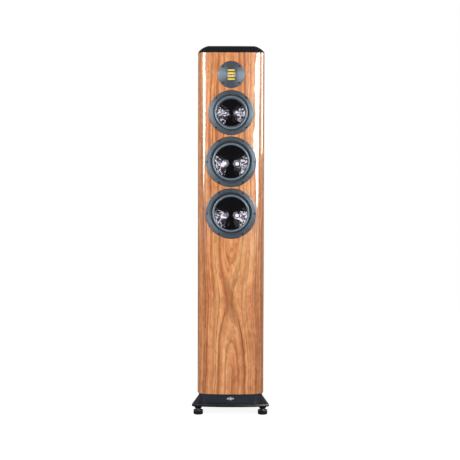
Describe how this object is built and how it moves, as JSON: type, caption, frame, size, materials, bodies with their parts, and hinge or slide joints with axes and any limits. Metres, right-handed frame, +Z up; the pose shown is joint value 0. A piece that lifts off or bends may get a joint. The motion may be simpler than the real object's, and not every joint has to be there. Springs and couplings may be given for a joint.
{
  "type": "floorstanding speaker",
  "caption": "Slender leaning loudspeaker tower with metal-framed faceted cones, a folded-foil tweeter, gloss walnut cabinet, black cap, plinth, base plate and levelling feet.",
  "frame": {"origin": "middle of the footprint on the floor, under the feet", "axes": "+Z up, -Y is the front where the drivers face, +X to the right seen from the front"},
  "size_m": [0.268, 0.3557, 1.2754],
  "materials": {
    "walnut": "high-gloss clear lacquer over walnut veneer",
    "raw_board": "bare fibreboard",
    "wool": "loose wool felt",
    "cap_black": "satin black lacquer on board",
    "plinth_lacquer": "satin blue-black lacquer on board",
    "badge_white": "fine satin",
    "plate_black": "satin black powder coat",
    "steel": "turned",
    "foot_black": "satin black",
    "driver_frame": "anodised slate grey, turned",
    "surround_rubber": "satin",
    "cone_black": "faceted high-gloss black",
    "spider_cloth": "impregnated cloth",
    "copper": "enamelled wire",
    "magnet": "sintered and plated",
    "gold_foil": "bright gold-coloured foil",
    "screw_black": "black oxide",
    "port_black": "moulded, fine grain",
    "gold_plate": "gold plated",
    "knob_black": "moulded",
    "knob_red": "moulded",
    "board_green": "solder mask",
    "component_mix": "enamelled wire, film sleeves and ceramic",
    "wire_sleeve": "soft sleeve"
  },
  "bodies": {
    "cabinet": {"front_baffle": "walnut", "side_panel_left": "walnut", "side_panel_right": "walnut", "rear_panel": "walnut", "top_panel": "raw_board", "bottom_panel": "raw_board", "cabinet_braces": "raw_board", "mid_chamber_wall": "raw_board", "damping_wool": "wool", "top_cap": "cap_black", "plinth": "plinth_lacquer", "plinth_badge": "badge_white", "base_plate": "plate_black", "base_bolts": "steel", "foot_collars": "plate_black", "tweeter_faceplate": "driver_frame", "tweeter_diaphragm": "gold_foil", "tweeter_magnet": "magnet", "mounting_screws": "screw_black", "port_tubes": "port_black", "terminal_plate": "port_black", "post_studs": "gold_plate", "jumper_links": "gold_plate", "crossover_board": "board_green", "crossover_parts": "component_mix", "internal_wiring": "wire_sleeve", "lower_woofer_basket": "driver_frame", "lower_woofer_magnet": "magnet", "upper_woofer_basket": "driver_frame", "upper_woofer_magnet": "magnet", "midrange_basket": "driver_frame", "midrange_magnet": "magnet"},
    "lower_woofer_moving": {"lower_woofer_cone": "cone_black", "lower_woofer_coil": "copper", "lower_woofer_surround": "surround_rubber", "lower_woofer_spider": "spider_cloth"},
    "upper_woofer_moving": {"upper_woofer_cone": "cone_black", "upper_woofer_coil": "copper", "upper_woofer_surround": "surround_rubber", "upper_woofer_spider": "spider_cloth"},
    "midrange_moving": {"midrange_cone": "cone_black", "midrange_coil": "copper", "midrange_surround": "surround_rubber", "midrange_spider": "spider_cloth"},
    "foot_front_left": {"foot_pad_front_left": "foot_black"},
    "stud_front_left": {"foot_stud_front_left": "steel"},
    "foot_front_right": {"foot_pad_front_right": "foot_black"},
    "stud_front_right": {"foot_stud_front_right": "steel"},
    "foot_rear_left": {"foot_pad_rear_left": "foot_black"},
    "stud_rear_left": {"foot_stud_rear_left": "steel"},
    "foot_rear_right": {"foot_pad_rear_right": "foot_black"},
    "stud_rear_right": {"foot_stud_rear_right": "steel"},
    "washer_1": {"post_washer_1": "gold_plate"},
    "knob_1": {"post_knob_1": "knob_black"},
    "washer_2": {"post_washer_2": "gold_plate"},
    "knob_2": {"post_knob_2": "knob_red"},
    "washer_3": {"post_washer_3": "gold_plate"},
    "knob_3": {"post_knob_3": "knob_black"},
    "washer_4": {"post_washer_4": "gold_plate"},
    "knob_4": {"post_knob_4": "knob_red"}
  },
  "joints": [
    {"name": "lower_woofer_travel", "type": "slide", "parent": "cabinet", "child": "lower_woofer_moving", "axis": [0, -0.9986, 0.0523], "range_m": [-0.005, 0.005], "stiffness_N_per_m": 1100, "deforming": ["lower_woofer_surround", "lower_woofer_spider"]},
    {"name": "upper_woofer_travel", "type": "slide", "parent": "cabinet", "child": "upper_woofer_moving", "axis": [0, -0.9986, 0.0523], "range_m": [-0.005, 0.005], "stiffness_N_per_m": 1100, "deforming": ["upper_woofer_surround", "upper_woofer_spider"]},
    {"name": "midrange_travel", "type": "slide", "parent": "cabinet", "child": "midrange_moving", "axis": [0, -0.9986, 0.0523], "range_m": [-0.0025, 0.0025], "stiffness_N_per_m": 1400, "deforming": ["midrange_surround", "midrange_spider"]},
    {"name": "foot_front_left_lift", "type": "slide", "parent": "cabinet", "child": "foot_front_left", "axis": [0, 0, 1], "range_m": [-0.00525, 0.0035]},
    {"name": "foot_front_left_turn", "type": "hinge", "parent": "foot_front_left", "child": "stud_front_left", "pos_m": [-0.112, -0.14985, 0.02], "axis": [0, 0, 1], "range_deg": [-1090, 730]},
    {"name": "foot_front_right_lift", "type": "slide", "parent": "cabinet", "child": "foot_front_right", "axis": [0, 0, 1], "range_m": [-0.00525, 0.0035]},
    {"name": "foot_front_right_turn", "type": "hinge", "parent": "foot_front_right", "child": "stud_front_right", "pos_m": [0.112, -0.14985, 0.02], "axis": [0, 0, 1], "range_deg": [-1090, 730]},
    {"name": "foot_rear_left_lift", "type": "slide", "parent": "cabinet", "child": "foot_rear_left", "axis": [0, 0, 1], "range_m": [-0.00525, 0.0035]},
    {"name": "foot_rear_left_turn", "type": "hinge", "parent": "foot_rear_left", "child": "stud_rear_left", "pos_m": [-0.086, 0.10615, 0.02], "axis": [0, 0, 1], "range_deg": [-1090, 730]},
    {"name": "foot_rear_right_lift", "type": "slide", "parent": "cabinet", "child": "foot_rear_right", "axis": [0, 0, 1], "range_m": [-0.00525, 0.0035]},
    {"name": "foot_rear_right_turn", "type": "hinge", "parent": "foot_rear_right", "child": "stud_rear_right", "pos_m": [0.086, 0.10615, 0.02], "axis": [0, 0, 1], "range_deg": [-1090, 730]},
    {"name": "post_1_advance", "type": "slide", "parent": "cabinet", "child": "washer_1", "axis": [0, 0.9986, -0.0523], "range_m": [0, 0.005]},
    {"name": "post_1_turn", "type": "hinge", "parent": "washer_1", "child": "knob_1", "pos_m": [-0.019, 0.14359, 0.24247], "axis": [0, 0.9986, -0.0523], "range_deg": [0, 1810]},
    {"name": "post_2_advance", "type": "slide", "parent": "cabinet", "child": "washer_2", "axis": [0, 0.9986, -0.0523], "range_m": [0, 0.005]},
    {"name": "post_2_turn", "type": "hinge", "parent": "washer_2", "child": "knob_2", "pos_m": [0.019, 0.14359, 0.24247], "axis": [0, 0.9986, -0.0523], "range_deg": [0, 1810]},
    {"name": "post_3_advance", "type": "slide", "parent": "cabinet", "child": "washer_3", "axis": [0, 0.9986, -0.0523], "range_m": [0, 0.005]},
    {"name": "post_3_turn", "type": "hinge", "parent": "washer_3", "child": "knob_3", "pos_m": [-0.019, 0.14171, 0.20652], "axis": [0, 0.9986, -0.0523], "range_deg": [0, 1810]},
    {"name": "post_4_advance", "type": "slide", "parent": "cabinet", "child": "washer_4", "axis": [0, 0.9986, -0.0523], "range_m": [0, 0.005]},
    {"name": "post_4_turn", "type": "hinge", "parent": "washer_4", "child": "knob_4", "pos_m": [0.019, 0.14171, 0.20652], "axis": [0, 0.9986, -0.0523], "range_deg": [0, 1810]}
  ],
  "couplings": [
    {"joint": "foot_front_left_turn", "follows": "foot_front_left_lift", "rad_per_m": 3590.4},
    {"joint": "foot_front_right_turn", "follows": "foot_front_right_lift", "rad_per_m": 3590.4},
    {"joint": "foot_rear_left_turn", "follows": "foot_rear_left_lift", "rad_per_m": 3590.4},
    {"joint": "foot_rear_right_turn", "follows": "foot_rear_right_lift", "rad_per_m": 3590.4},
    {"joint": "post_1_turn", "follows": "post_1_advance", "rad_per_m": 6283.2},
    {"joint": "post_2_turn", "follows": "post_2_advance", "rad_per_m": 6283.2},
    {"joint": "post_3_turn", "follows": "post_3_advance", "rad_per_m": 6283.2},
    {"joint": "post_4_turn", "follows": "post_4_advance", "rad_per_m": 6283.2}
  ]
}
